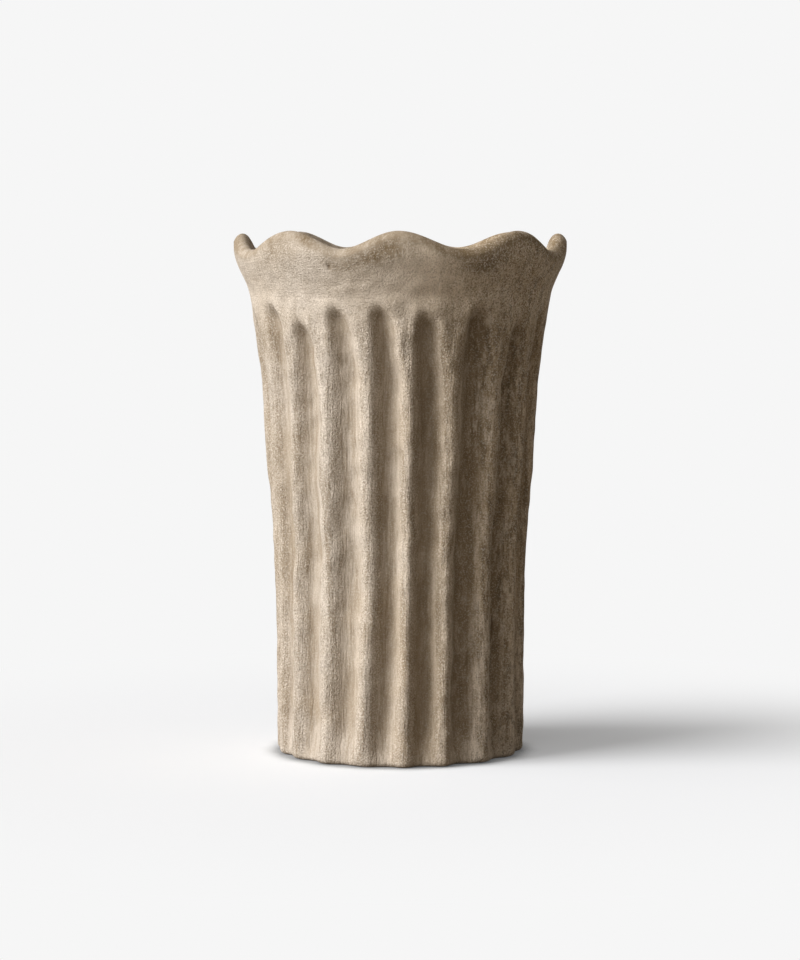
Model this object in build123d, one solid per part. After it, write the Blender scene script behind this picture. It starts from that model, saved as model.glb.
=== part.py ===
# Fluted urn vase, hand-built in bare clay: a fluted wall, a floor disc let into its foot,
# a coil pressed into the inside corner, a flared collar with a scalloped lip, and a watertight
# glaze lining. The vase stands on z = 0 around the Z axis, with its front towards -Y.
import os
from math import cos, exp, pi, radians, sin, sqrt, tan

from build123d import *

# Overall sizes, in millimetres
height = 305.0  # table to the tops of the rim lobes
collar_height = 38.0  # rim lobes down to the seam between collar and wall
foot_thickness = 12.9  # from ridge to inside face at the foot
wall_thickness = 11.5  # from ridge to inside face at the seam
lip_thickness = 10.0

# Outer radius of the wall, measured on its ridges
foot_radius = 72.5
shoulder_radius = 87.6  # at the seam under the collar
flare_power = 2.9  # how late the wall leans out: 1 is a plain cone
swell = 1.5  # slight bulge left by the maker's hand
swell_share = 0.66  # its height, as a share of the wall's height
swell_width = 0.11

# Flutes drawn down the outside of the wall
flute_count = 18
flute_depth = 6.5
flute_foot_share = 0.45  # share of that depth left at the foot
flute_foot_rise = 22.0  # height over which the flutes deepen to it
flute_hollow = 0.55  # share of a flute's width that is hollow: the rest is the round ridge
flute_phase = -5.0  # degrees from the front to the middle of the first flute
flute_top_gap = 3.0  # plain clay between the top of a flute and the collar seam
flute_run_out = 12.0  # height over which a flute rounds up to the plain clay
# Degrees that each flute strays from its even place, at the foot and at the top
flute_foot_drift = (-2.5, -4, -3, 5, 1.5, -1, 2, 3, -1.5, 1, -2.5, 2, 0, 5, 2, -3, -2.5, -2)
flute_top_drift = (0, -4, -2.5, 0.5, -1, 2.5, -2, 1, 2, -2.5, 1, -1, 2, 2, 5, 11, 5.5, 3.5)

# Flared collar and its scalloped lip
rim_radius = 97.4
flare_radius = 97.0  # where the flare ends and the upright lip starts
rim_upright = 10.5  # height of the upright lip above the flare
lobe_count = 8
lobe_drop = 10.0  # from the top of a lobe to the dip beside it
lip_tilts = (-60, -30, 0, 30, 60)  # degrees that the flats round the lip lean across it
seam_lap = 6.0  # how far the collar laps down outside the wall's bevelled top

# Foot and floor
foot_round = 3.5  # radius of the wall's lower outside edge
floor_thickness = 9.0
floor_recess = 2.5  # the floor stands this far clear of the table
floor_ledge = 1.5  # width of the ledge in the wall that the floor is luted against
lute_gap = 0.1  # slip line left round the floor disc
coil_width = 9.0  # of the inside corner coil between floor and wall
bore_height = 100.0  # the inside is straight up to here, then leans out with the wall

# Watertight lining
glaze_thickness = 0.8
glaze_line = 15.0  # bare clay between the lining's edge and the rim lobes

# Spans that the curves are drawn in
foot_steps = 2  # up the rounded foot
rise_steps = 2  # up the stretch where the flutes deepen
wall_steps = 5  # up the rest of the wall's outside
end_steps = 2  # up the round ends of the flutes
inside_steps = 2  # up the leaning part of the wall's inside, and again up the collar's
lobe_points = 4  # points on the lip for each lobe

# Sizes worked out from the ones above
seam_z = height - collar_height
flute_top_z = seam_z - flute_top_gap
flute_end_z = flute_top_z - flute_run_out
flare_top_z = height - rim_upright
clear_z = height + lip_thickness  # above every piece
floor_top_z = floor_recess + floor_thickness
bore_z = floor_top_z + coil_width
bore_radius = foot_radius - foot_thickness
seat_radius = bore_radius + floor_ledge
glaze_z = height - glaze_line
wall_lean = flare_power * (shoulder_radius - foot_radius) / seam_z  # slope at the seam


def lean_radius(z):
    """Outer radius of the wall at a height, leaning out from the foot to the seam."""
    return foot_radius + (shoulder_radius - foot_radius) * (z / seam_z) ** flare_power


def ridge_radius(z):
    """Outer radius of the wall's ridges at a height, with the maker's bulge."""
    return lean_radius(z) + swell * exp(-(((z / seam_z - swell_share) / swell_width) ** 2))


def on_circle(radius, degrees, z):
    """Point at an angle counted from the front, -Y, towards +X."""
    turn = radians(degrees)
    return (radius * sin(turn), -radius * cos(turn), z)


def flute_angle(index, z):
    """Middle of a flute at a height, in degrees: its even place and its drift."""
    share = z / flute_top_z
    foot = flute_foot_drift[index % flute_count % len(flute_foot_drift)]
    top = flute_top_drift[index % flute_count % len(flute_top_drift)]
    return flute_phase + index * 360 / flute_count + foot + (top - foot) * share


def flute_share(z):
    """Depth of the flutes at a height: less at the foot, and none where they round up into plain clay."""
    at_foot = min(flute_foot_share + (1 - flute_foot_share) * z / flute_foot_rise, 1.0)
    into_end = min(max((z - flute_end_z) / flute_run_out, 0.0), 1.0)
    return at_foot * sqrt(1 - into_end**2)


def foot_inset(z):
    """How far the rounded lower edge draws the wall in at a height."""
    below = max(foot_round - z, 0.0)
    return foot_round - sqrt(foot_round**2 - below**2)


def wall_section(z):
    """Outline of the wall at a height: a hollow arc for each flute and a round one between."""
    ridge = ridge_radius(z) - foot_inset(z)
    groove = ridge - flute_depth * flute_share(z)
    slope = groove + (ridge - groove) * flute_hollow
    half = flute_hollow / 2
    outline = []
    for index in range(flute_count):
        before, here, after = (flute_angle(index + step, z) for step in (-1, 0, 1))
        enter, leave = here - (here - before) * half, here + (after - here) * half
        next_enter = after - (after - here) * half
        hollow = (on_circle(slope, enter, z), on_circle(groove, here, z), on_circle(slope, leave, z))
        crown = (hollow[2], on_circle(ridge, (here + after) / 2, z), on_circle(slope, next_enter, z))
        outline += [ThreePointArc(*hollow), ThreePointArc(*crown)]
    return make_face(outline)


def fluted_form():
    """Solid form of the wall's outside: rounded foot, long flutes and their round upper ends."""
    foot = [foot_round * (1 - cos(pi / 2 * step / foot_steps)) for step in range(foot_steps)]
    rise = [foot_round + (flute_foot_rise - foot_round) * step / rise_steps for step in range(rise_steps)]
    wall_span = (flute_end_z - flute_foot_rise) / wall_steps
    wall = [flute_foot_rise + wall_span * step for step in range(wall_steps)]
    ends = [flute_end_z + flute_run_out * sin(pi / 2 * step / end_steps) for step in range(end_steps + 1)]
    return loft([wall_section(z) for z in foot + rise + wall + ends], ruled=True)


def s_bend(start, start_way, end, end_way):
    """Two arcs that leave one point and reach another in given directions."""
    span, ways = end - start, start_way + end_way
    turn = 2 * (1 - start_way.dot(end_way))
    reach = (sqrt(span.dot(ways) ** 2 + turn * span.dot(span)) - span.dot(ways)) / turn
    joint = (start + start_way * reach + end - end_way * reach) / 2
    lower = TangentArc(start, joint, tangent=start_way)
    return [lower, TangentArc(joint, end, tangent=lower % 1)]


def collar_line():
    """Outside line of the collar in the XZ plane: the flare from the seam, then the upright lip."""
    seam, flare_top = Vector(shoulder_radius, 0, seam_z), Vector(flare_radius, 0, flare_top_z)
    wall_way = Vector(wall_lean, 0, 1).normalized()
    lip_way = Vector(rim_radius - flare_radius, 0, rim_upright).normalized()
    above = flare_top + lip_way * (clear_z - flare_top_z)
    return [*s_bend(seam, wall_way, flare_top, lip_way), Line(flare_top, above)]


def inside_line(inset):
    """Points up the inside face of the clay, from the coil to above the lip, moved in by the inset."""
    points = [(bore_radius - inset, 0, bore_z)]
    seam_radius = shoulder_radius - wall_thickness
    for step in range(inside_steps + 1):
        z = bore_height + (seam_z - bore_height) * step / inside_steps
        lean = (lean_radius(z) - lean_radius(bore_height)) / (shoulder_radius - lean_radius(bore_height))
        points.append((bore_radius + (seam_radius - bore_radius) * lean - inset, 0, z))
    lip_radius = flare_radius - lip_thickness
    for step in range(1, inside_steps + 1):
        share = step / inside_steps
        radius = seam_radius + (lip_radius - seam_radius) * sin(pi / 2 * share)
        points.append((radius - inset, 0, seam_z + (flare_top_z - seam_z) * share))
    return points + [(lip_radius - inset, 0, clear_z)]


def inside_form(inset=0.0):
    """Solid that fills the inside of the clay, drawn in by the inset: floor, corner coil, wall, collar."""
    floor_z = floor_top_z + inset
    outline = [(0, 0, floor_z), (bore_radius - coil_width, 0, floor_z), *inside_line(inset), (0, 0, clear_z)]
    return revolve(make_face(Polyline(*outline, close=True)), Axis.Z)


def seam_cone():
    """Upper end of the wall: plain clay above the flutes, bevelled for the collar."""
    inner = shoulder_radius - wall_thickness
    outline = Polyline(
        (0, 0, flute_top_z),
        (ridge_radius(flute_top_z), 0, flute_top_z),
        (shoulder_radius, 0, seam_z),
        (inner, 0, seam_z + seam_lap),
        (0, 0, seam_z + seam_lap),
        close=True,
    )
    return revolve(make_face(outline), Axis.Z)


def corner_blank():
    """Plug of the straight bore just above the floor, where the coil lies."""
    return Pos(Z=(floor_top_z + bore_z) / 2) * Cylinder(bore_radius, coil_width)


def make_fluted_wall():
    """Wall with its flutes, foot, floor seat and bevelled top."""
    seat = Pos(Z=floor_top_z / 2) * Cylinder(seat_radius, floor_top_z)
    return fluted_form() + seam_cone() - inside_form() - corner_blank() - seat


def make_floor_disc():
    """Disc let into the foot, against the ledge of the wall's seat."""
    disc = Cylinder(seat_radius - lute_gap, floor_thickness)
    return Pos(Z=floor_recess + floor_thickness / 2) * disc


def make_corner_coil():
    """Coil of clay smoothed into the corner between floor and wall."""
    return corner_blank() - inside_form()


def lip_wave(radius, lift):
    """Closed wave round the rim at one radius: up over each lobe and down into each dip."""
    middle, swing = height - lobe_drop / 2 + lift, lobe_drop / 2
    points = []
    for step in range(lobe_points * lobe_count):
        turn = 90 + 360 * step / (lobe_points * lobe_count)
        points.append(on_circle(radius, turn, middle + swing * cos(radians(lobe_count * turn))))
    return Spline(*points, periodic=True).edge()


def lip_cutter(tilt):
    """Solid above one flat of the round lip, which leans across the lip by the tilt."""
    half = lip_thickness / 2
    middle, reach = rim_radius - half, 1.4 * half
    lift = half / cos(radians(tilt)) - half
    fall = reach * tan(radians(tilt))
    flat = Face.make_surface_from_curves(
        lip_wave(middle - reach, lift + fall), lip_wave(middle + reach, lift - fall)
    )
    return extrude(flat, amount=2 * (lobe_drop + abs(fall) + lip_thickness), dir=(0, 0, 1))


def make_scalloped_collar():
    """Flared collar on the wall's bevel, cut to lobes and dips with a round lip."""
    inner = (shoulder_radius - wall_thickness, 0, seam_z + seam_lap)
    outside = collar_line()
    rim = Polyline(outside[-1] @ 1, (inner[0], 0, clear_z), inner, outside[0] @ 0)
    ring = revolve(make_face([*outside, rim]), Axis.Z) - inside_form()
    for tilt in lip_tilts:
        ring -= lip_cutter(tilt)
    return ring


def make_glaze_lining():
    """Glaze over the floor, the coil and the inside of wall and collar, up to the glaze line."""
    coat = inside_form() - inside_form(glaze_thickness)
    return split(coat, Plane.XY.offset(glaze_z), keep=Keep.BOTTOM)


pieces = {
    "fluted_wall": make_fluted_wall,
    "floor_disc": make_floor_disc,
    "corner_coil": make_corner_coil,
    "scalloped_collar": make_scalloped_collar,
    "glaze_lining": make_glaze_lining,
}
os.makedirs("parts", exist_ok=True)
for name, make in pieces.items():
    solid = make()
    export_step(solid, f"parts/{name}.step")
    print(name, len(solid.solids()), round(solid.volume), solid.is_valid, solid.bounding_box())
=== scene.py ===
from math import atan2, cos, degrees, exp, hypot, pi, radians, sin, sqrt

import bmesh
import bpy
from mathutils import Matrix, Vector, noise


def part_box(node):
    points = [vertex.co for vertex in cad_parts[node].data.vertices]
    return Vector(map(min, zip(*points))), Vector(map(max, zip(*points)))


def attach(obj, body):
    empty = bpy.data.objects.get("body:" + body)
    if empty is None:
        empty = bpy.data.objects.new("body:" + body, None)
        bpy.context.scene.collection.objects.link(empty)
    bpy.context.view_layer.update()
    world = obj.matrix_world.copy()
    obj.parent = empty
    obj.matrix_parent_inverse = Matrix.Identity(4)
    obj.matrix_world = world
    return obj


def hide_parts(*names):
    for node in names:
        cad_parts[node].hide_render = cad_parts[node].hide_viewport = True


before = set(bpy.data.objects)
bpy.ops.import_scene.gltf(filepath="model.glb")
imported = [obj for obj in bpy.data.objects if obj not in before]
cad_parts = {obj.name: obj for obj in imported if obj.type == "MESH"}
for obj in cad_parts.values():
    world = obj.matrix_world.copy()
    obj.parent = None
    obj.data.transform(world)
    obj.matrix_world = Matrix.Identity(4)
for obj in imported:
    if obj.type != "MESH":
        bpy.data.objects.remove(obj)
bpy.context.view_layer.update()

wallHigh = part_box("fluted_wall")[1]
collarLow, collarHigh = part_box("scalloped_collar")
coatLow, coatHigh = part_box("glaze_lining")
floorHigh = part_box("floor_disc")[1]
seamZ = collarLow[2]  # wall and collar meet here on the outside
rimZ = collarHigh[2]  # tops of the lobes
print("frame loaded, vase is", round(rimZ, 4), "m tall")

mm = 0.001
levelGap = 1e-7  # points closer than this are level
weldGap = 1e-6  # points closer than this are one
rowGap = 1e-5  # points closer than this are in one row
slipLine = 0.0001  # clay slip round the floor
sharpAngle = 42  # degrees from which an edge shows as one


def clamp(value):
    return min(max(value, 0.0), 1.0)


def ease(share):
    return share * share * (3 - 2 * share)


# the line of the vase, shared by all its pieces

vaseLine = {
    "footRadius": 0.0725,  # on the ridges
    "shoulderRadius": 0.0876,  # at the seam
    "leanPower": 2.9,  # how late the wall leans out
    "swell": 0.0015,  # bulge left by the hand, its height and spread as shares of the wall
    "swellShare": 0.66,
    "swellSpread": 0.11,
    "flareTop": 0.2945,
    "flareRadius": 0.0969,
    "rimRadius": 0.0971,
    "footWall": 0.0129,  # clay thickness at the foot, at the seam and at the lip
    "seamWall": 0.0115,
    "lipWall": 0.0100,
    "boreHigh": 0.100,  # the inside is straight up to here
}


def leanRadius(z):
    foot, shoulder = vaseLine["footRadius"], vaseLine["shoulderRadius"]
    return foot + (shoulder - foot) * (max(z, 0.0) / seamZ) ** vaseLine["leanPower"]


def outerRadius(z):
    if z <= seamZ:
        offSwell = (z / seamZ - vaseLine["swellShare"]) / vaseLine["swellSpread"]
        return leanRadius(z) + vaseLine["swell"] * exp(-offSwell**2)
    start, top, topRadius = vaseLine["shoulderRadius"], vaseLine["flareTop"], vaseLine["flareRadius"]
    lipLean = (vaseLine["rimRadius"] - topRadius) / (rimZ - top)
    if z >= top:
        return topRadius + lipLean * (z - top)
    # the flare is a curve that leaves the wall and meets the lip without a crease
    wallLean = vaseLine["leanPower"] * (start - vaseLine["footRadius"]) / seamZ
    reach, t = (top - seamZ) / 3, (z - seamZ) / (top - seamZ)
    second, third = start + wallLean * reach, topRadius - lipLean * reach
    lower = (1 - t) ** 3 * start + 3 * t * (1 - t) ** 2 * second
    return lower + 3 * t * t * (1 - t) * third + t**3 * topRadius


def innerRadius(z):
    bore = vaseLine["footRadius"] - vaseLine["footWall"]
    seamInner = vaseLine["shoulderRadius"] - vaseLine["seamWall"]
    if z <= seamZ:
        start = leanRadius(vaseLine["boreHigh"])
        lean = max(leanRadius(z) - start, 0.0) / (vaseLine["shoulderRadius"] - start)
        return bore + (seamInner - bore) * lean
    rise = min((z - seamZ) / (vaseLine["flareTop"] - seamZ), 1.0)
    lipInner = vaseLine["flareRadius"] - vaseLine["lipWall"]
    return seamInner + (lipInner - seamInner) * sin(pi / 2 * rise)


# marks of the hand

lumps = {
    "radius": 0.085,  # of the round on which their noise is read
    "broad": 0.0006,  # height of the broad ones, their scale and the place in the noise
    "broadScale": 26,
    "broadStart": (3.1, 0.4, 7.7),
    "small": 0.0009,
    "smallScale": 110,
    "smallStart": (8.2, 5.5, 1.3),
    "collarCalm": 0.6,  # share of the small ones wiped off the collar, and the height it takes
    "collarReach": 0.02,
    "sideCalm": 0.5,  # share wiped off the two sides, and where that starts, from 0 in front to 1
    "sideStart": 0.8,
}

# small cuts: degrees from the front, height, width, length, depth
scars = {
    "pit": (-25.0, 0.285, 0.0006, 0.0021, 0.0013),
    "slit": (56.0, 0.077, 0.0008, 0.0062, 0.0015),
}
scarRadius = 0.08  # turns their degrees into a width

# brown that soaked into the collar: degrees from the front, how far below the lip, half width in
# degrees, half height, strength
soaks = (
    (-86, 0.0040, 12, 0.008, 0.4),
    (-46, 0.0100, 11, 0.008, 0.66),
    (-35, 0.0015, 5, 0.0030, 0.8),
    (-20, 0.0095, 8, 0.005, 0.52),
    (-11, 0.0015, 8, 0.0035, 0.45),
    (-6, 0.0100, 10, 0.0072, 1.0),
    (12, 0.0012, 7, 0.0034, 0.95),
    (23, 0.0016, 6, 0.0036, 0.95),
    (31, 0.0118, 7, 0.0060, 0.9),
    (95, 0.0100, 12, 0.007, 0.45),
    (150, 0.0090, 13, 0.006, 0.5),
    (-165, 0.0100, 10, 0.006, 0.4),
    (-110, 0.0095, 12, 0.007, 0.45),
)


def handLumps(turn, z):
    spot = Vector((lumps["radius"] * sin(turn), -lumps["radius"] * cos(turn), z))
    broad = noise.noise(spot * lumps["broadScale"] + Vector(lumps["broadStart"]))
    small = noise.noise(spot * lumps["smallScale"] + Vector(lumps["smallStart"]))
    small *= 1 - lumps["collarCalm"] * clamp((z - seamZ) / lumps["collarReach"])
    onSide = max(abs(sin(turn)) - lumps["sideStart"], 0.0) / (1 - lumps["sideStart"])
    small *= 1 - lumps["sideCalm"] * onSide
    return lumps["broad"] * broad + lumps["small"] * small


def scarShare(turn, z):
    # how deep and how dark the cuts are here
    deep = dark = 0.0
    for at, height, wide, long, depth in scars.values():
        across = scarRadius * (turn - radians(at)) / wide
        mark = exp(-(across**2) - ((z - height) / long) ** 4)
        deep, dark = deep + depth * mark, dark + mark
    return deep, dark


def soakShare(turn, below):
    share = 0.0
    for at, depth, wide, high, strength in soaks:
        off = ((degrees(turn) - at) / wide) ** 2 + ((below - depth) / high) ** 2
        share = max(share, strength * exp(-off))
    return share


# turning a piece

def turnOf(vert):  # angle round the vase, from the front towards the right
    return atan2(vert.co.x, -vert.co.y)


def spinRing(corners, spins, cutsBetween):
    # corners are (radius, z, cuts to the next corner), a closed ring unless it ends on the axis
    bm = bmesh.new()
    cutLayer = bm.edges.layers.int.new("cuts")
    ringLayer = bm.verts.layers.float.new("ringRadius")
    ring = [bm.verts.new((radius, 0, z)) for radius, z, cuts in corners]
    onAxis = corners[0][0] == 0 and corners[-1][0] == 0
    for index, (radius, z, cuts) in enumerate(corners[:-1] if onAxis else corners):
        edge = bm.edges.new((ring[index], ring[(index + 1) % len(ring)]))
        edge[cutLayer] = cuts
    for cuts in {corner[2] for corner in corners if corner[2]}:
        marked = [edge for edge in bm.edges if edge[cutLayer] == cuts]
        bmesh.ops.subdivide_edges(bm, edges=marked, cuts=cuts)
    for vert in bm.verts:
        vert[ringLayer] = vert.co.x
    bmesh.ops.spin(
        bm, geom=bm.verts[:] + bm.edges[:], cent=(0, 0, 0), axis=(0, 0, 1),
        angle=2 * pi, steps=spins, use_merge=True,
    )
    bmesh.ops.remove_doubles(bm, verts=bm.verts[:], dist=weldGap)
    around = [edge for edge in bm.edges if abs(edge.verts[0].co.z - edge.verts[1].co.z) < levelGap
              and abs(edge.verts[0][ringLayer] - edge.verts[1][ringLayer]) < levelGap]
    bmesh.ops.subdivide_edges(bm, edges=around, cuts=cutsBetween, use_grid_fill=True)
    for vert in bm.verts:  # back out from the chords to the true circles
        chord = hypot(vert.co.x, vert.co.y)
        if chord > weldGap:
            vert.co.x *= vert[ringLayer] / chord
            vert.co.y *= vert[ringLayer] / chord
    bmesh.ops.recalc_face_normals(bm, faces=bm.faces[:])
    bm.verts.layers.float.remove(bm.verts.layers.float["ringRadius"])
    bm.edges.layers.int.remove(bm.edges.layers.int["cuts"])
    return bm


def finishPiece(bm, name, material, node):
    for face in bm.faces:
        face.smooth = True
    mesh = bpy.data.meshes.new(name)
    bm.to_mesh(mesh)
    bm.free()
    mesh.set_sharp_from_angle(angle=radians(sharpAngle))
    mesh.materials.append(material)
    piece = bpy.data.objects.new(name, mesh)
    bpy.context.collection.objects.link(piece)
    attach(piece, "root")
    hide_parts(node)
    print(name, len(mesh.polygons), "faces")


# materials

clay = {
    "pale": (0.62, 0.545, 0.462),
    "tan": (0.51, 0.425, 0.33),
    "stainAndShade": (0.20, 0.14, 0.075),  # olive brown that lies in patches, also laid as painted shade in the flutes, on their shaded flanks, the lip and the far left edge
    # painted shade, darker towards the foot
    "footShade": (0.24, 0.165, 0.12),
    "fleck": (0.19, 0.135, 0.08),
    "crust": (0.105, 0.08, 0.045),  # burnt on in small clusters on the smoked side
    "chalk": (0.86, 0.77, 0.67),
    "smokeAndShadeTint": (0.93, 0.84, 0.69),  # tint of the side away from the key light: painted shade, with browner staining there
    "paleAndLit": (0.77, 0.67, 0.56),  # paler tone laid on the collar and in patches, and the painted light up the wall
    "roughness": 0.93,
    "specular": 0.3,
    # width and height of the marks, detail and roughness of their noise
    "grainNoise": (0.0009, 0.0009, 1.0, 0.6),  # coarse sand in the clay, proud on the ridges
    "fibreNoise": (0.0010, 0.009, 2.0, 0.6),  # fine marks drawn down the flutes
    "streakNoise": (0.0030, 0.045, 4.0, 0.62),  # long drag marks
    "runNoise": (0.0055, 0.11, 3.0, 0.6),  # longer brown runs
    "wipeNoise": (0.016, 0.0016, 3.0, 0.6),  # marks wiped round the collar
    "mottleNoise": (0.006, 0.018, 3.0, 0.65),
    "patchNoise": (0.045, 0.045, 3.0, 0.55),
    "crustNoise": (0.0034, 0.0085, 3.0, 0.7),
    "clusterNoise": (0.011, 0.030, 2.0, 0.5),
    "grainDepth": 0.0006,
    "fibreDepth": 0.0004,
    "streakDepth": 0.0008,
    "wipeDepth": 0.00025,
}

# how the clay's marks come up: from where, to where, and their strength at both, else 0 and 1
shades = {
    # across the vase
    "smokeAndShade": (-0.05, 0.085),  # the side away from the key light, painted darker as shade, with browner staining there
    # keeps the painted light up the wall off the far left
    "paler": (-0.085, -0.05),
    # the far left edge darker: brown streaks and painted shade
    "leftEdgeStainAndShade": (-0.055, -0.085, 0.0, 0.14),
    # up the vase
    # painted light: the upper wall lighter on the side towards the key light
    "paintedLightHigh": (0.10, 0.24, 0.0, 0.26),
    # painted shade: darker towards the foot on the side towards the key light
    "paintedShadeLow": (0.13, 0.0, 0.0, 0.10),
    "dusted": (0.12, 0.0, 0.0, 0.55),
    # towards the smoked side, the side away from the key light that is painted darker as shade
    "coarseSmoke": (0.35, 1.0, 1.0, 2.1),
    "thumbSmoke": (0.35, 1.0, 0.35, 0.8),
    "sandSmoke": (0.4, 1.0, 0.8, 1.8),
    "bloomSmoke": (0.0, 0.5, 0.35, 1.0),
    "bloomEnd": (0.6, 1.0, 1.0, 0.45),
    "cleanSmoke": (0.3, 0.85, 1.0, 0.0),
    "dustSmoke": (0.35, 0.8),
    "poolSmoke": (0.35, 0.85, 0.34, 0.7),
    "flankSmoke": (0.0, 0.3, 0.55, 1.0),
    "spreadSmoke": (0.2, 1.0, 0.2, 0.45),
    "cloudSmoke": (0.3, 1.0, 0.0, 0.4),
    "burnSmoke": (0.58, 0.90),
    "lipSmoke": (0.4, 1.0, 1.0, 1.7),
    # where the noise is high, or low if the first number is the larger
    "patch": (0.36, 0.66, 0.0, 0.8),
    "drag": (0.48, 0.72, 0.0, 0.42),
    "run": (0.50, 0.66, 0.0, 0.34),
    "fibre": (0.50, 0.70, 0.0, 0.28),
    "wipe": (0.50, 0.72, 0.0, 0.14),
    "spread": (0.40, 0.66),
    "cloud": (0.48, 0.32),
    "flankMottle": (0.38, 0.62, 0.18, 0.42),
    "lipMottle": (0.35, 0.6, 0.36, 0.58),
    "soakMottle": (0.34, 0.62, 0.8, 1.2),
    "cluster": (0.40, 0.56),
    "crust": (0.51, 0.59, 0.0, 0.55),
    "flake": (0.47, 0.37, 0.0, 0.40),
    "speck": (0.50, 0.30, 0.0, 0.42),
    "bright": (0.50, 0.70, 0.0, 0.5),
    # where the mesh says that a flute, the lip, slip or a cut is
    "thumbed": (0.15, 0.75),
    "pooled": (0.5, 1.2),
    "drawn": (0.0, 1.0),
    "lip": (0.0, 1.0, 1.0, 0.5),
    "slip": (0.1, 1.0, 0.0, 0.42),
    "scar": (0.1, 0.8, 0.0, 0.85),
}

coat = {
    "light": (0.27, 0.19, 0.115),
    "dark": (0.16, 0.105, 0.06),
    "roughness": 0.42,
    "specular": 0.5,
    "brushNoise": (0.012, 0.012, 4.0, 0.6),
    "fineNoise": (0.0012, 0.0012, 2.0, 0.5),
    "brushShade": (0.35, 0.66),
    "fineShade": (0.55, 0.75, 0.0, 0.4),
    "brushDepth": 0.0006,
    "brushStrength": 0.6,
}


def addNode(tree, kind, inputs=(), **settings):
    node = tree.nodes.new(kind)
    for name, value in settings.items():
        setattr(node, name, value)
    for name, value in dict(inputs).items():
        if hasattr(value, "is_output"):
            tree.links.new(value, node.inputs[name])
        else:
            node.inputs[name].default_value = value
    return node


def newMaterial(name, roughness, specular):
    material = bpy.data.materials.new(name)
    material.use_nodes = True
    tree = material.node_tree
    shader = tree.nodes["Principled BSDF"]
    shader.inputs["Roughness"].default_value = roughness
    shader.inputs["Specular IOR Level"].default_value = specular
    place = addNode(tree, "ShaderNodeTexCoord").outputs["Object"]
    return material, tree, shader, place


def noiseOn(tree, place, wide, high, detail, roughness):
    # wide and high are the size of the marks in metres
    scale = (1 / wide, 1 / wide, 1 / high)
    spread = addNode(tree, "ShaderNodeMapping", {"Vector": place, "Scale": scale})
    marks = {"Vector": spread.outputs["Vector"], "Scale": 1.0, "Detail": detail, "Roughness": roughness}
    return addNode(tree, "ShaderNodeTexNoise", marks).outputs["Fac"]


def remap(tree, value, low, high, toLow=0.0, toHigh=1.0):
    ends = {"Value": value, "From Min": low, "From Max": high, "To Min": toLow, "To Max": toHigh}
    return addNode(tree, "ShaderNodeMapRange", ends, interpolation_type="SMOOTHSTEP").outputs["Result"]


def calc(tree, operation, first, second):
    node = addNode(tree, "ShaderNodeMath", operation=operation)
    for socket, value in zip(node.inputs, (first, second)):
        if hasattr(value, "is_output"):
            tree.links.new(value, socket)
        else:
            socket.default_value = value
    return node.outputs["Value"]


def blendColour(tree, factor, first, second, mode="MIX"):
    node = addNode(tree, "ShaderNodeMix", data_type="RGBA", blend_type=mode)
    sockets = node.inputs[0], node.inputs[6], node.inputs[7]
    for socket, value in zip(sockets, (factor, first, second)):
        if hasattr(value, "is_output"):
            tree.links.new(value, socket)
        else:
            socket.default_value = value if isinstance(value, float) else (*value, 1.0)
    return node.outputs[2]


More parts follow.
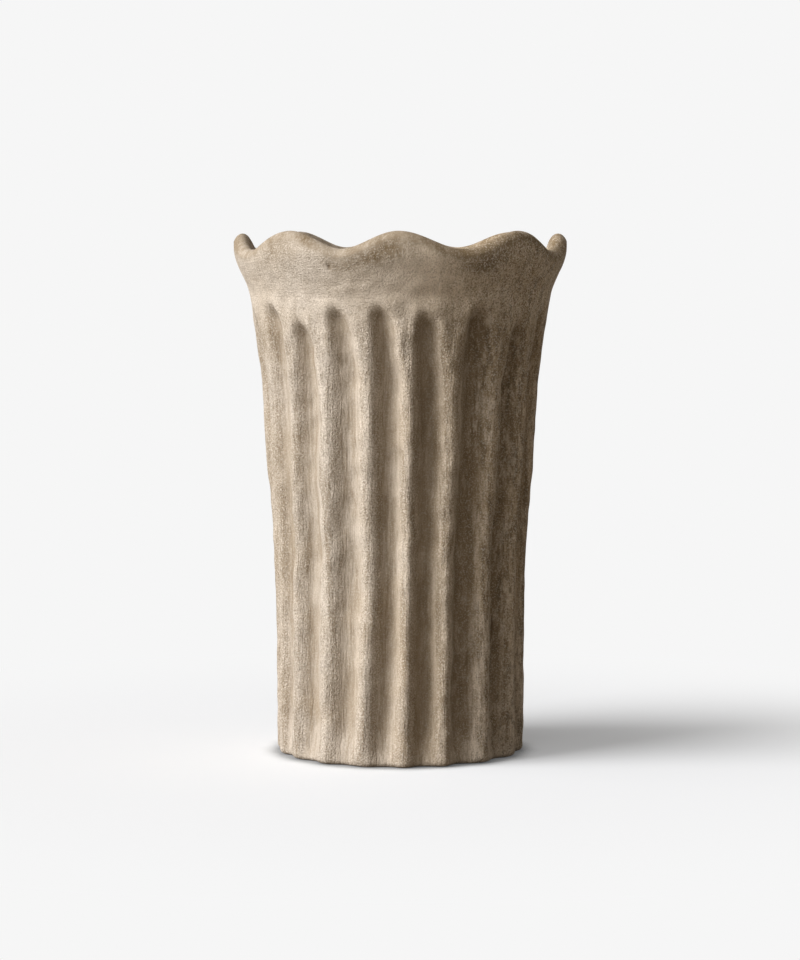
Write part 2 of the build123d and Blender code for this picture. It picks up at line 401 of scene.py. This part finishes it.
def makeClay():
    material, tree, shader, place = newMaterial("bareClay", clay["roughness"], clay["specular"])

    def level(value, name):
        return remap(tree, value, *shades[name])

    def times(first, *others):
        for other in others:
            first = calc(tree, "MULTIPLY", first, other)
        return first

    grain, fibre, streak, run, wipe, mottle, patch, crust, cluster = (
        noiseOn(tree, place, *clay[name + "Noise"])
        for name in ("grain", "fibre", "streak", "run", "wipe", "mottle", "patch", "crust", "cluster")
    )
    groove, drawn, scar, lip, slip, flank, soak = (
        addNode(tree, "ShaderNodeAttribute", attribute_name=name).outputs["Fac"]
        for name in ("groove", "drawn", "scar", "lip", "slip", "flank", "soak")
    )
    plain = calc(tree, "SUBTRACT", 1.0, drawn)
    axes = addNode(tree, "ShaderNodeSeparateXYZ", {"Vector": place}).outputs
    smokeAndShade = level(axes["X"], "smokeAndShade")
    litSide = level(smokeAndShade, "cleanSmoke")  # the side towards the key light, with painted light up the wall and painted shade at the foot
    burnt = times(level(cluster, "cluster"), level(smokeAndShade, "burnSmoke"))
    streaky = times(drawn, level(smokeAndShade, "coarseSmoke"))
    # the thumb smoothed the sand in the flutes, and hands on the lip
    sandy = remap(tree, groove, *shades["thumbed"], 1.0, level(smokeAndShade, "thumbSmoke"))
    sandy = calc(tree, "MAXIMUM", sandy, flank)
    onCollar = remap(tree, drawn, *shades["drawn"], level(smokeAndShade, "sandSmoke"), 1.0)
    sandy = times(sandy, onCollar, level(lip, "lip"))

    layers = (  # laid over each other in this order
        # the collar laid paler, most in front
        (times(plain, level(smokeAndShade, "bloomSmoke"), level(smokeAndShade, "bloomEnd")), "paleAndLit"),
        # painted shade: the side away from the key light tinted darker and browner, with browner staining
        (smokeAndShade, "smokeAndShadeTint"),
        # painted light up the wall, on the side towards the key light
        (times(level(axes["Z"], "paintedLightHigh"), drawn, level(axes["X"], "paler"), litSide), "paleAndLit"),
        # painted shade, darker towards the foot
        (times(level(axes["Z"], "paintedShadeLow"), litSide), "footShade"),
        # brown streaks and painted shade at the far left edge of the wall
        (times(level(axes["X"], "leftEdgeStainAndShade"), drawn), "stainAndShade"),
        (times(level(axes["Z"], "dusted"), level(smokeAndShade, "dustSmoke")), "paleAndLit"),
        (times(level(streak, "drag"), streaky), "stainAndShade"),
        (times(level(run, "run"), streaky), "stainAndShade"),
        (level(slip, "slip"), "stainAndShade"),
        # brown stain in the flutes, deepened as painted shade in the hollows, more on the side away from
        # the key light
        (times(level(groove, "pooled"), level(smokeAndShade, "poolSmoke")), "stainAndShade"),
        # painted shade on the flute walls that face away from the key light
        (times(flank, level(mottle, "flankMottle"), level(smokeAndShade, "flankSmoke")), "stainAndShade"),
        (times(level(wipe, "wipe"), plain), "stainAndShade"),
        (times(level(mottle, "spread"), level(smokeAndShade, "spreadSmoke")), "stainAndShade"),
        (times(level(mottle, "cloud"), level(smokeAndShade, "cloudSmoke")), "paleAndLit"),
        (times(level(crust, "crust"), burnt), "crust"),
        (times(level(crust, "flake"), burnt), "paleAndLit"),
        # the lip browned by hands, darker on the side away from the key light as painted shade over its
        # highlight
        (times(lip, level(mottle, "lipMottle"), level(smokeAndShade, "lipSmoke")), "stainAndShade"),
        (times(soak, level(mottle, "soakMottle")), "stainAndShade"),
        (times(level(fibre, "fibre"), streaky), "stainAndShade"),
        (times(level(grain, "speck"), sandy), "fleck"),
        (times(level(grain, "bright"), sandy), "chalk"),
        (level(scar, "scar"), "fleck"),
    )
    colour = blendColour(tree, level(patch, "patch"), clay["pale"], clay["tan"])
    for factor, name in layers:
        mode = "MULTIPLY" if name == "smokeAndShadeTint" else "MIX"
        colour = blendColour(tree, factor, colour, clay[name], mode)
    tree.links.new(colour, shader.inputs["Base Color"])

    bump = None
    marks = ((grain, sandy, "grainDepth"), (fibre, drawn, "fibreDepth"),
             (streak, drawn, "streakDepth"), (wipe, plain, "wipeDepth"))
    for height, where, depth in marks:
        inputs = {"Height": times(height, where), "Distance": clay[depth], "Strength": 1.0}
        if bump:
            inputs["Normal"] = bump.outputs["Normal"]
        bump = addNode(tree, "ShaderNodeBump", inputs)
    tree.links.new(bump.outputs["Normal"], shader.inputs["Normal"])
    return material


def makeCoat():
    material, tree, shader, place = newMaterial("innerGlaze", coat["roughness"], coat["specular"])
    brush = noiseOn(tree, place, *coat["brushNoise"])
    fine = noiseOn(tree, place, *coat["fineNoise"])
    pooled = remap(tree, brush, *coat["brushShade"])
    colour = blendColour(tree, pooled, coat["light"], coat["dark"])
    colour = blendColour(tree, remap(tree, fine, *coat["fineShade"]), colour, coat["dark"])
    tree.links.new(colour, shader.inputs["Base Color"])
    waves = {"Height": brush, "Distance": coat["brushDepth"], "Strength": coat["brushStrength"]}
    bump = addNode(tree, "ShaderNodeBump", waves)
    tree.links.new(bump.outputs["Normal"], shader.inputs["Normal"])
    return material


bareClay = makeClay()
innerGlaze = makeCoat()
print("materials made")


# fluted wall

flutes = {
    "count": 18,
    "phase": -5.0,  # degrees from the front to the first flute, counted to the right
    "depth": 0.0065,
    "hollow": 0.55,  # share of a flute that is hollow, the rest is its ridge
    "seamGap": 0.0005,  # from the highest flute to the seam
    "runOut": 0.014,  # height of the round upper end
    "slant": 0.010,  # how much longer that end runs on its right side
    "throat": 0.30,  # how much narrower a flute gets up to it, and over which height
    "throatLong": 0.03,
    "lightStart": 0.08,  # and how much shallower
    "slipLong": 0.026,  # length over which brown slip lies below it
    "footShare": 0.45,  # depth left at the foot, and the height over which it grows to the full one
    "footRise": 0.022,
    "flankAt": 0.58,  # where the left flank lies between the middle and the ridge, and how wide
    "flankWide": 0.24,
    "wander": 1.2,  # degrees that a flute weaves on its way down, in long and in short bends
    "waver": 1.3,
    "pulse": 0.22,  # share by which its depth comes and goes
    # noise of these three: step from flute to flute, bends in a metre, place in the noise
    "wanderNoise": (5.3, 16, 2.0),
    "waverNoise": (7.1, 70, 4.0),
    "pulseNoise": (3.7, 22, 9.0),
    # degrees that each flute strays at the foot, halfway up and at the top
    "footDrift": (-2.4, -4, -5.0, 0.0, 1.5, -1, 2, 3, -1.5, 1, -2.5, 2, 0, 5, 2, -2.9, -2.9, -1.9),
    "midDrift": (1.6, 1.3, 0.6, -1.0, -1, 1, -0.5, 1.5, -1, 0.5, 1, -1.5, 0.5, 0, 0.5, -1.5, -1.2, 0.9),
    "topDrift": (0.1, -4.1, -2.4, 0.4, -1, 2.5, -2, 1, 2, -2.5, 1, -1, 2, 2, 5, 11.4, 5.3, 3.5),
    # degrees that its upper end leans over, and the length that does
    "hook": (-2.4, -1.4, 0.4, 0, 0.5, -1, 1, 0, -1, 1, 0, 1, -1, 0, -1, -4.0, -3.0, -3.2),
    "hookLong": 0.065,
    # millimetres that each flute stops short of the highest one
    "stopShort": (0, 4, 0.5, 9.5, 3, 6, 1, 8, 2, 5, 0, 7, 3, 1, 6, 0, 9, 0.5),
    # how deep the thumb pressed
    "press": (
        1.1, 1.3, 1.45, 1.35, 1.1, 0.9, 1.1, 1.0, 0.95,
        1.05, 1.0, 1.1, 0.92, 1.0, 1.05, 0.95, 1.1, 1.0,
    ),
    "dragLumps": 0.00016,  # height of the drag marks, their scale across and down
    "dragAcross": 240,
    "dragDown": 15,
}
flutes["topZ"] = seamZ - flutes["seamGap"]

wall = {
    "seatRadius": floorHigh[0] + slipLine,
    "footRound": 0.0035,
    "boreRadius": vaseLine["footRadius"] - vaseLine["footWall"],
    "skin": 0.004,  # what lies deeper than this is the inside
    "drawnFade": 0.02,  # height over which drag marks fade out under the seam
    "spins": 90,
    "cutsBetween": 5,
    "footRows": 4,
    "outsideRows": 128,
    "bevelRows": 1,
    "insideRows": 10,
}


def fluteNoise(kind, which, z):
    step, bends, start = flutes[kind]
    return noise.noise(Vector((which * step, z * bends, start)))


def fluteMiddle(index, z):
    which, share = index % flutes["count"], z / flutes["topZ"]
    foot, top = flutes["footDrift"][which], flutes["topDrift"][which]
    bow = flutes["midDrift"][which] * 4 * share * (1 - share)
    weave = flutes["wander"] * fluteNoise("wanderNoise", which, z)
    weave += flutes["waver"] * fluteNoise("waverNoise", which, z)
    weave += flutes["hook"][which] * max((z - flutes["topZ"]) / flutes["hookLong"] + 1, 0.0) ** 2
    return flutes["phase"] + index * 360 / flutes["count"] + foot + (top - foot) * share + bow + weave


def fluteShare(turn, z):
    # how deep the flute is here, 0 on a ridge and above the round end, how near that end is, and
    # how near the left flank
    angle, pitch, hollow = degrees(turn), 360 / flutes["count"], flutes["hollow"]
    near = round((angle - flutes["phase"]) / pitch)
    middles = {index: fluteMiddle(index, z) for index in range(near - 2, near + 3)}
    index = min(range(near - 1, near + 2), key=lambda one: abs(angle - middles[one]))
    which, onRight = index % flutes["count"], angle > middles[index]
    beside = index + (1 if onRight else -1)
    across = 2 * abs(angle - middles[index]) / abs(middles[beside] - middles[index])
    runOut = flutes["runOut"] + (flutes["slant"] * min(across, 1.0) if onRight else 0.0)
    end = flutes["topZ"] - flutes["stopShort"][which] * mm - runOut
    along = max(z - end, 0.0) / runOut
    start = clamp((z - end) / flutes["throatLong"] + 1)
    across *= 1 + flutes["throat"] * ease(start)
    off = min(hypot(across, along), 1.0)
    scoop = 1 - off**2 / hollow if off < hollow else (1 - off) ** 2 / (1 - hollow)
    press = flutes["press"][which] * (1 + flutes["pulse"] * fluteNoise("pulseNoise", which, z))
    press *= 1 - flutes["lightStart"] * start
    atFoot = min(flutes["footShare"] + (1 - flutes["footShare"]) * z / flutes["footRise"], 1.0)
    nearEnd = exp(-max(end + runOut - z, 0.0) / flutes["slipLong"])
    offFlank = (off - flutes["flankAt"]) / flutes["flankWide"]
    return scoop * press * atFoot, nearEnd, 0.0 if onRight else exp(-(offFlank**2))


def makeWall():
    foot, shoulder = vaseLine["footRadius"], vaseLine["shoulderRadius"]
    corners = [
        (wall["seatRadius"], 0.0, 0),
        (foot, 0.0, wall["footRows"]),
        (foot, wall["footRound"], wall["outsideRows"]),
        (shoulder, seamZ, wall["bevelRows"]),
        (innerRadius(wallHigh[2]), wallHigh[2], wall["insideRows"]),
        (wall["boreRadius"], floorHigh[2], 0),
        (wall["seatRadius"], floorHigh[2], 0),
    ]
    bm = spinRing(corners, wall["spins"], wall["cutsBetween"])
    grooveLayer = bm.verts.layers.float.new("groove")
    drawnLayer = bm.verts.layers.float.new("drawn")
    scarLayer = bm.verts.layers.float.new("scar")
    slipLayer = bm.verts.layers.float.new("slip")
    flankLayer = bm.verts.layers.float.new("flank")
    for vert in bm.verts:
        z, turn, radius = vert.co.z, turnOf(vert), hypot(vert.co.x, vert.co.y)
        if z > seamZ or radius <= wall["seatRadius"] + slipLine and z <= floorHigh[2]:
            continue  # bevel, bore end and floor seat stay true
        straight = foot + (shoulder - foot) * z / seamZ
        if radius < straight - wall["skin"]:
            moved = innerRadius(z)
        else:
            share, nearEnd, flank = fluteShare(turn, z)
            across = lumps["radius"] * flutes["dragAcross"]
            spot = Vector((across * sin(turn), -across * cos(turn), z * flutes["dragDown"]))
            below = max(wall["footRound"] - z, 0.0)
            roundIn = wall["footRound"] - sqrt(wall["footRound"] ** 2 - below**2)
            fade = min((seamZ - z) / wall["drawnFade"], 1.0)
            moved = outerRadius(z) - flutes["depth"] * share - roundIn
            moved += handLumps(turn, z) + flutes["dragLumps"] * noise.noise(spot) * fade
            deep, vert[scarLayer] = scarShare(turn, z)
            moved -= deep
            vert[grooveLayer] = share
            vert[slipLayer] = nearEnd * min(2 * share, 1.0)
            vert[flankLayer] = flank
            vert[drawnLayer] = fade
        vert.co.x, vert.co.y = moved * sin(turn), -moved * cos(turn)
    finishPiece(bm, "flutedWall", bareClay, "fluted_wall")


makeWall()


# scalloped collar

collar = {
    "lobes": 8,
    "flat": (0, 0, 1.6, 0.8, 0.4, 0.5, 1.6, 0),  # millimetres pressed off each lobe's top
    "broad": (1, 1, 1.6, 0.9, 1, 0.9, 1.6, 0.8),  # below 1 a lobe is broader and its dips narrower
    "drop": 0.010,  # from a lobe's top to the dip beside it
    "deeper": (0, 1.0, 0.5, 0, 0, 0.5, 1.0, 0),  # millimetres more in the dip after each lobe
    "drift": (-0.5, 1.0, 0.0, -1.5, 1.0, -4.0, 0.0, 3.0),  # degrees that each lobe strays
    "lipHigh": 0.0045,  # height of the rounding along the lip
    "lipSweep": 62,  # degrees that it bends to each side, so 90 leaves no crease
    "lipReach": 0.003,  # how far below the lip hands have browned it
    "skin": 0.002,  # what lies deeper than this at the bevel is the inside, and how that line leans out
    "skinLean": 0.2,
    "boxGap": 0.00002,  # lumps stop this far inside the solid's width
    "spins": 90,
    "cutsBetween": 5,
    "outsideRows": 34,
    "lipRows": 11,
    "insideRows": 18,
    "bevelRows": 1,
}


def lobeWave(turn):
    # height of the lip against the lobes' tops, zero or below
    pitch = 2 * pi / collar["lobes"]
    place = turn % (2 * pi) / pitch
    before = int(place) % collar["lobes"]
    share = place - int(place)
    drifts = collar["drift"][before], collar["drift"][(before + 1) % collar["lobes"]]
    stray = radians(drifts[0] + (drifts[1] - drifts[0]) * share)
    lobe = (before + (share > 0.5)) % collar["lobes"]
    wave = ((cos(collar["lobes"] * (turn - stray)) + 1) / 2) ** collar["broad"][lobe]
    flat, deeper = collar["flat"][lobe] * mm, collar["deeper"][before] * mm
    return collar["drop"] * (wave - 1) - flat * wave**3 - deeper * (1 - wave) ** 2


def makeCollar():
    half, sweep = vaseLine["lipWall"] / 2, radians(collar["lipSweep"])
    lipZ, bevelZ = rimZ - collar["lipHigh"], wallHigh[2]
    lipOut, lipIn = outerRadius(lipZ), outerRadius(lipZ) - vaseLine["lipWall"]
    reach = min(collarHigh[0], collarHigh[1], -collarLow[0], -collarLow[1]) - collar["boxGap"]
    corners = [
        (vaseLine["shoulderRadius"], seamZ, collar["outsideRows"]),
        (lipOut, lipZ, collar["lipRows"]),
        (lipIn, lipZ, collar["insideRows"]),
        (innerRadius(bevelZ), bevelZ, collar["bevelRows"]),
    ]
    bm = spinRing(corners, collar["spins"], collar["cutsBetween"])
    scarLayer = bm.verts.layers.float.new("scar")
    lipLayer = bm.verts.layers.float.new("lip")
    soakLayer = bm.verts.layers.float.new("soak")
    for vert in bm.verts:
        z, turn, radius = vert.co.z, turnOf(vert), hypot(vert.co.x, vert.co.y)
        onLip = lipZ - z < rowGap
        inside = outerRadius(bevelZ) - collar["skin"] + (z - bevelZ) * collar["skinLean"]
        outside = radius > inside or z <= seamZ + rowGap
        if z < bevelZ + rowGap and not outside:
            continue  # bevel onto the wall
        rise = min((z - seamZ) / (vaseLine["flareTop"] - seamZ), 1.0)
        shift = ease(rise) * lobeWave(turn)
        if onLip:
            bend = sweep * (radius - (lipOut + lipIn) / 2) / half  # from outside to inside
            moved = outerRadius(lipZ + shift) - half + half * sin(bend) / sin(sweep)
            height = lipZ + shift + collar["lipHigh"] * (cos(bend) - cos(sweep)) / (1 - cos(sweep))
        else:
            height = z + shift
            moved = outerRadius(height) if outside else innerRadius(height)
        if outside or onLip:
            deep, vert[scarLayer] = scarShare(turn, height)
            vert[lipLayer] = max(1 - (lipZ - z) / collar["lipReach"], 0.0)
            vert[soakLayer] = soakShare(turn, rimZ + shift - height)
            moved = min(moved + handLumps(turn, z), reach) - deep
        vert.co = (moved * sin(turn), -moved * cos(turn), height)
    finishPiece(bm, "scallopedCollar", bareClay, "scalloped_collar")


makeCollar()


# glaze inside

lining = {"thickness": 0.0008, "coil": 0.009, "spins": 60, "cutsBetween": 3, "floorRows": 3, "sideRows": 40}


def makeLining():
    low, high, thick = coatLow[2], coatHigh[2], lining["thickness"]
    bend, bore, top = low + lining["coil"], wall["boreRadius"], innerRadius(high)
    floorRows, sideRows = lining["floorRows"], lining["sideRows"]
    corners = [
        (0, low, floorRows),
        (bore - lining["coil"], low, floorRows),
        (bore, bend, sideRows),
        (top, high, 0),
        (top - thick, high, sideRows),
        (bore - thick, bend, floorRows),
        (bore - lining["coil"], low + thick, floorRows),
        (0, low + thick, 0),
    ]
    bm = spinRing(corners, lining["spins"], lining["cutsBetween"])
    for vert in bm.verts:
        z, turn, radius = vert.co.z, turnOf(vert), hypot(vert.co.x, vert.co.y)
        if z < bend + rowGap:
            continue  # floor and corner stay true
        straight = bore + (top - bore) * (z - bend) / (high - bend)
        moved = innerRadius(z) - (thick if radius < straight - thick / 2 else 0)
        vert.co.x, vert.co.y = moved * sin(turn), -moved * cos(turn)
    finishPiece(bm, "glazeCoat", innerGlaze, "glaze_lining")


makeLining()
for node in ("floor_disc", "corner_coil"):
    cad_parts[node].material_slots[0].material = bareClay


# studio

studio = {
    "backdrop": 0.922,  # what the camera sees behind the vase
    "floorSize": 8,
    "floorLook": (0.702, 0.706, 0.719),
    "floorGlow": (0.215, 0.225, 0.235),
    "floorFade": (0.13, 0.45),  # where the floor goes over into the backdrop, from the vase's middle
    "floorBounce": (0.19, 0.160, 0.126),  # what it sends back to the vase
    "contactReach": 0.014,  # painted contact shadow where the foot meets the floor, from ambient occlusion within this reach
    "contactShade": (1.0, 0.5, 0.0, 0.6),
    "contactDark": (0.02, 0.02, 0.02),
    "fill": (0.090, 0.070, 0.047),
    "keyTurn": -67,  # degrees from the front, to the left
    "keyRise": 30,
    "keySpread": 40,
    "keyStrength": 3.68,
    "skirtTurn": -54,  # softer light from the same side
    "skirtRise": 26,
    "skirtSpread": 100,
    "skirtStrength": 1.6,
    "edgeTurn": 100,  # faint light back from the other side
    "edgeRise": 6,
    "edgeSpread": 100,
    "edgeStrength": 0.40,
    "cameraBack": 1.930,
    "cameraHeight": 0.305,
    "cameraTilt": 4.32,
    "lens": 123.7,
    "sensor": 36,
}


def seenRays(tree):
    # 1 for rays that show the backdrop: camera, gloss and glass
    path = addNode(tree, "ShaderNodeLightPath").outputs
    first = calc(tree, "MAXIMUM", path["Is Camera Ray"], path["Is Glossy Ray"])
    return calc(tree, "MAXIMUM", first, path["Is Transmission Ray"])


def mixShaders(tree, factor, first, second):
    mix = addNode(tree, "ShaderNodeMixShader", {"Fac": factor})
    tree.links.new(first, mix.inputs[1])
    tree.links.new(second, mix.inputs[2])
    return mix.outputs["Shader"]


def makeFloorLook():
    material = bpy.data.materials.new("paleFloor")
    material.use_nodes = True
    tree = material.node_tree
    tree.nodes.remove(tree.nodes["Principled BSDF"])

    def paint(colour):
        return addNode(tree, "ShaderNodeBsdfDiffuse", {"Color": (*colour, 1.0)}).outputs["BSDF"]

    def shine(inputs):
        return addNode(tree, "ShaderNodeEmission", inputs).outputs["Emission"]

    shown = addNode(tree, "ShaderNodeAddShader")
    tree.links.new(paint(studio["floorLook"]), shown.inputs[0])
    tree.links.new(shine({"Color": (*studio["floorGlow"], 1.0), "Strength": 1.0}), shown.inputs[1])
    # painted contact shadow: ambient occlusion darkens the floor round the foot
    close = addNode(tree, "ShaderNodeAmbientOcclusion", {"Distance": studio["contactReach"]}).outputs["AO"]
    contact = remap(tree, close, *studio["contactShade"])
    near = mixShaders(tree, contact, shown.outputs["Shader"], paint(studio["contactDark"]))
    place = addNode(tree, "ShaderNodeTexCoord").outputs["Object"]
    reach = addNode(tree, "ShaderNodeVectorMath", operation="LENGTH")
    tree.links.new(place, reach.inputs[0])
    away = remap(tree, reach.outputs["Value"], *studio["floorFade"])
    seen = mixShaders(tree, away, near, shine({"Strength": studio["backdrop"]}))
    whole = mixShaders(tree, seenRays(tree), paint(studio["floorBounce"]), seen)
    tree.links.new(whole, tree.nodes["Material Output"].inputs["Surface"])
    return material


def makeFloor():
    bm = bmesh.new()
    bmesh.ops.create_grid(bm, x_segments=1, y_segments=1, size=studio["floorSize"])
    mesh = bpy.data.meshes.new("studioFloor")
    bm.to_mesh(mesh)
    bm.free()
    mesh.materials.append(makeFloorLook())
    floor = bpy.data.objects.new("studioFloor", mesh)
    bpy.context.collection.objects.link(floor)


def makeWorld():
    world = bpy.data.worlds.new("studioWorld")
    world.use_nodes = True
    tree = world.node_tree
    fill = tree.nodes["Background"]
    fill.inputs["Color"].default_value = (*studio["fill"], 1)
    shade = (studio["backdrop"],) * 3 + (1.0,)
    backdrop = addNode(tree, "ShaderNodeBackground", {"Color": shade, "Strength": 1.0})
    whole = mixShaders(tree, seenRays(tree), fill.outputs["Background"], backdrop.outputs["Background"])
    tree.links.new(whole, tree.nodes["World Output"].inputs["Surface"])
    bpy.context.scene.world = world


def makeLight(name):
    sun = bpy.data.lights.new(name, "SUN")
    sun.energy = studio[name + "Strength"]
    sun.angle = radians(studio[name + "Spread"])
    lamp = bpy.data.objects.new(name, sun)
    lamp.rotation_euler = (radians(90 - studio[name + "Rise"]), 0, radians(studio[name + "Turn"]))
    bpy.context.collection.objects.link(lamp)


def makeCamera():
    lens = bpy.data.cameras.new("photoCamera")
    lens.sensor_width = studio["sensor"]
    lens.lens = studio["lens"]
    camera = bpy.data.objects.new("photoCamera", lens)
    camera.location = (0, -studio["cameraBack"], studio["cameraHeight"])
    camera.rotation_euler = (radians(90 - studio["cameraTilt"]), 0, 0)
    bpy.context.collection.objects.link(camera)
    bpy.context.scene.camera = camera


makeFloor()
makeWorld()
makeLight("key")
makeLight("skirt")
makeLight("edge")
makeCamera()
bpy.context.scene.view_settings.view_transform = "Standard"
print("studio ready")
